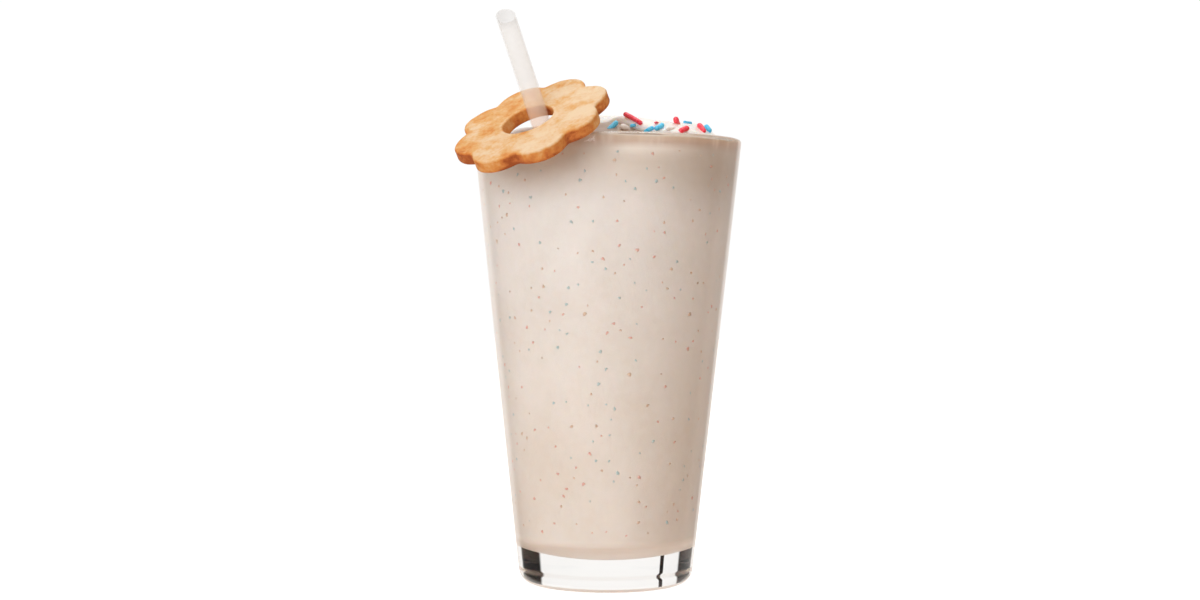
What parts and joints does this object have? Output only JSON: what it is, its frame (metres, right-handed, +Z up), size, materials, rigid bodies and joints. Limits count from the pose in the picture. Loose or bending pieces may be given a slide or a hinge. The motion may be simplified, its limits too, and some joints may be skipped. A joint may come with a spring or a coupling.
{
  "type": "milkshake in a pint glass",
  "caption": "Speckled vanilla milkshake in a clear conical pint glass, topped with whipped cream and sprinkles, with a frosted straw through a scalloped shortbread ring on the rim.",
  "frame": {"origin": "centre of the glass's foot, where it rests on the table", "axes": "+Z up along the glass's axis, -Y towards the viewer, the straw and the ring biscuit to the front left (-X, -Y)"},
  "size_m": [0.0923, 0.1045, 0.186],
  "materials": {
    "clear_glass": "clear, polished",
    "speckled_shake": "smooth milky drink with fine coloured specks",
    "whipped_cream": "soft, moist cream",
    "shortbread": "baked, dry, golden with browner sides",
    "frosted_plastic": "translucent, frosted"
  },
  "bodies": {
    "root": {"glass": "clear_glass", "milkshake": "speckled_shake", "whipped_cream": "whipped_cream", "cookie": "shortbread", "straw": "frosted_plastic"}
  },
  "joints": []
}
